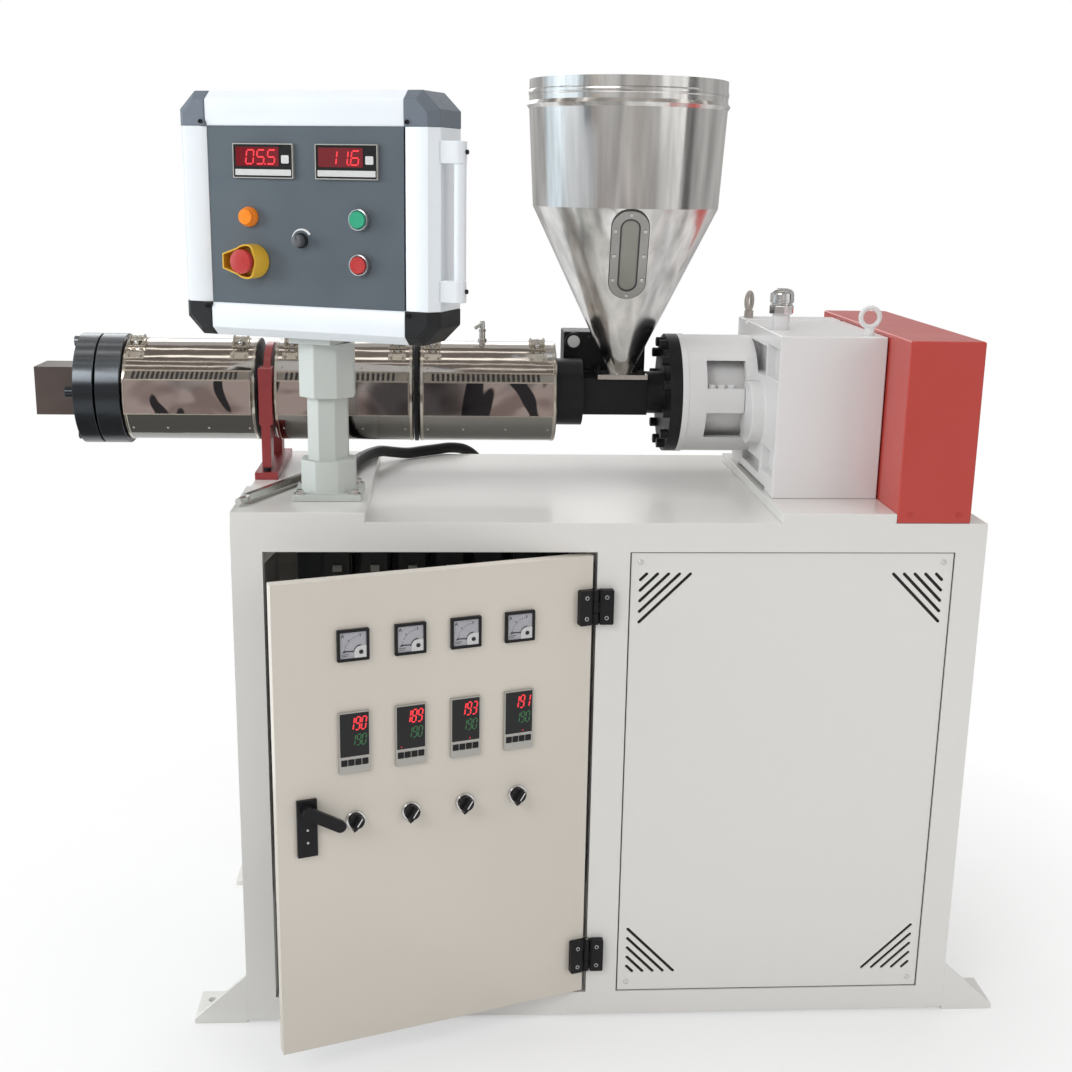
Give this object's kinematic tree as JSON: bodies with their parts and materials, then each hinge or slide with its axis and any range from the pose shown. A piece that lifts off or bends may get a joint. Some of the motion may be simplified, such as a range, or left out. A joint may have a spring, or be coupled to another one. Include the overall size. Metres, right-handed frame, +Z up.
{
  "type": "single-screw filament extruder",
  "caption": "Single-screw plastic filament extruder with heated barrel, hopper, gearbox, control box on a post and a steel cabinet with an instrument door.",
  "frame": {"origin": "floor level, at the centre of the four floor bolts, under the middle of the cabinet", "axes": "+X along the barrel from the die to the belt guard, +Y from the front to the back, +Z up"},
  "size_m": [1.605, 0.7904, 1.508],
  "materials": {
    "cabinet_enamel": "glossy off-white enamel over sheet steel",
    "door_enamel": "satin warm grey enamel",
    "gear_enamel": "glossy white enamel over cast iron",
    "post_enamel": "satin light grey-green enamel",
    "box_enamel": "satin light grey enamel",
    "panel_enamel": "satin dark blue-grey",
    "corner_casting": "dark grey die-cast corners",
    "red_paint": "glossy red enamel",
    "pad_rubber": "black rubber pads",
    "zinc_plate": "zinc-plated sheet",
    "switch_plastic": "light grey moulded plastic",
    "hinge_steel": "dark grey die-cast hinges",
    "black_plastic": "black moulded plastic",
    "silver_plastic": "silver-grey moulded plastic",
    "grey_plastic": "grey moulded plastic",
    "green_plastic": "green push button",
    "red_plastic": "red push button",
    "chrome_ring": "bright chrome bezels",
    "black_metal": "black oxide and black paint",
    "dark_steel": "dark machined steel",
    "warm_steel": "ground die steel, brown tint",
    "bright_steel": "bright turned steel",
    "mirror_steel": "mirror-polished stainless covers",
    "hopper_steel": "polished stainless sheet",
    "sight_glass": "clear sight glass"
  },
  "bodies": {
    "machine": {"front_stiles": "cabinet_enamel", "front_rails": "cabinet_enamel", "side_walls": "cabinet_enamel", "back_wall": "cabinet_enamel", "cabinet_floor": "cabinet_enamel", "tabletop": "cabinet_enamel", "machined_seats": "cabinet_enamel", "foot_brackets": "cabinet_enamel", "floor_pads": "pad_rubber", "mounting_plate": "zinc_plate", "switchgear": "switch_plastic", "vent_panel": "cabinet_enamel", "frame_hinge_leaves": "hinge_steel", "gearbox_housing": "gear_enamel", "gearbox_fittings": "bright_steel", "lantern_housing": "gear_enamel", "drive_flange": "black_metal", "feed_throat": "black_metal", "junction_box": "black_plastic", "barrel_tube": "bright_steel", "heater_covers": "mirror_steel", "heater_fittings": "bright_steel", "barrel_support": "red_paint", "clamp_rings": "dark_steel", "die_block": "warm_steel", "hopper_shell": "hopper_steel", "hopper_base_plate": "bright_steel", "sight_frame": "hopper_steel", "sight_pane": "sight_glass", "belt_guard": "red_paint", "hex_bar": "dark_steel", "control_post": "post_enamel", "control_conduit": "black_plastic", "conduit_glands": "black_plastic"},
    "door": {"door_panel": "door_enamel", "door_hinge_leaves": "hinge_steel", "ammeters": "black_plastic", "temperature_controllers": "silver_plastic", "selector_bodies": "chrome_ring", "lock_plate": "black_metal"},
    "selector_1": {"selector_knob_1": "black_plastic"},
    "selector_2": {"selector_knob_2": "black_plastic"},
    "selector_3": {"selector_knob_3": "black_plastic"},
    "selector_4": {"selector_knob_4": "black_plastic"},
    "lock_handle": {"lock_lever": "black_metal"},
    "control_box": {"box_shell": "box_enamel", "box_corners": "corner_casting", "control_panel": "panel_enamel", "panel_meters": "black_plastic", "panel_fittings": "chrome_ring", "side_handle": "bright_steel"},
    "speed_dial": {"speed_knob": "grey_plastic"},
    "start_push": {"start_button": "green_plastic"},
    "stop_push": {"stop_button": "red_plastic"},
    "emergency_push": {"emergency_button": "red_plastic"}
  },
  "joints": [
    {"name": "door_hinge", "type": "hinge", "parent": "machine", "child": "door", "pos_m": [-0.027, -0.281, 0.422], "axis": [0, 0, 1], "range_deg": [-19.3, 90.7]},
    {"name": "selector_turn_1", "type": "hinge", "parent": "door", "child": "selector_1", "pos_m": [-0.14271, -0.32576, 0.421], "axis": [0.3305, -0.9438, 0], "range_deg": [0, 90]},
    {"name": "selector_turn_2", "type": "hinge", "parent": "door", "child": "selector_2", "pos_m": [-0.22435, -0.35435, 0.421], "axis": [0.3305, -0.9438, 0], "range_deg": [0, 90]},
    {"name": "selector_turn_3", "type": "hinge", "parent": "door", "child": "selector_3", "pos_m": [-0.30599, -0.38294, 0.421], "axis": [0.3305, -0.9438, 0], "range_deg": [0, 90]},
    {"name": "selector_turn_4", "type": "hinge", "parent": "door", "child": "selector_4", "pos_m": [-0.38763, -0.41153, 0.421], "axis": [0.3305, -0.9438, 0], "range_deg": [0, 90]},
    {"name": "handle_turn", "type": "hinge", "parent": "door", "child": "lock_handle", "pos_m": [-0.45699, -0.43582, 0.45], "axis": [0.3305, -0.9438, 0], "range_deg": [-59, 31]},
    {"name": "box_swivel", "type": "hinge", "parent": "machine", "child": "control_box", "pos_m": [-0.441, -0.149, 1.102], "axis": [0, 0, 1], "range_deg": [-67, 113]},
    {"name": "speed_knob_turn", "type": "hinge", "parent": "control_box", "child": "speed_dial", "pos_m": [-0.4717, -0.23157, 1.257], "axis": [-0.3907, -0.9205, 0], "range_deg": [-280, 0]},
    {"name": "start_press", "type": "slide", "parent": "control_box", "child": "start_push", "axis": [0.3907, 0.9205, 0], "range_m": [0, 0.004], "stiffness_N_per_m": 400},
    {"name": "stop_press", "type": "slide", "parent": "control_box", "child": "stop_push", "axis": [0.3907, 0.9205, 0], "range_m": [0, 0.004], "stiffness_N_per_m": 400},
    {"name": "emergency_press", "type": "slide", "parent": "control_box", "child": "emergency_push", "axis": [0.3907, 0.9205, 0], "range_m": [0, 0.006], "stiffness_N_per_m": 600}
  ]
}
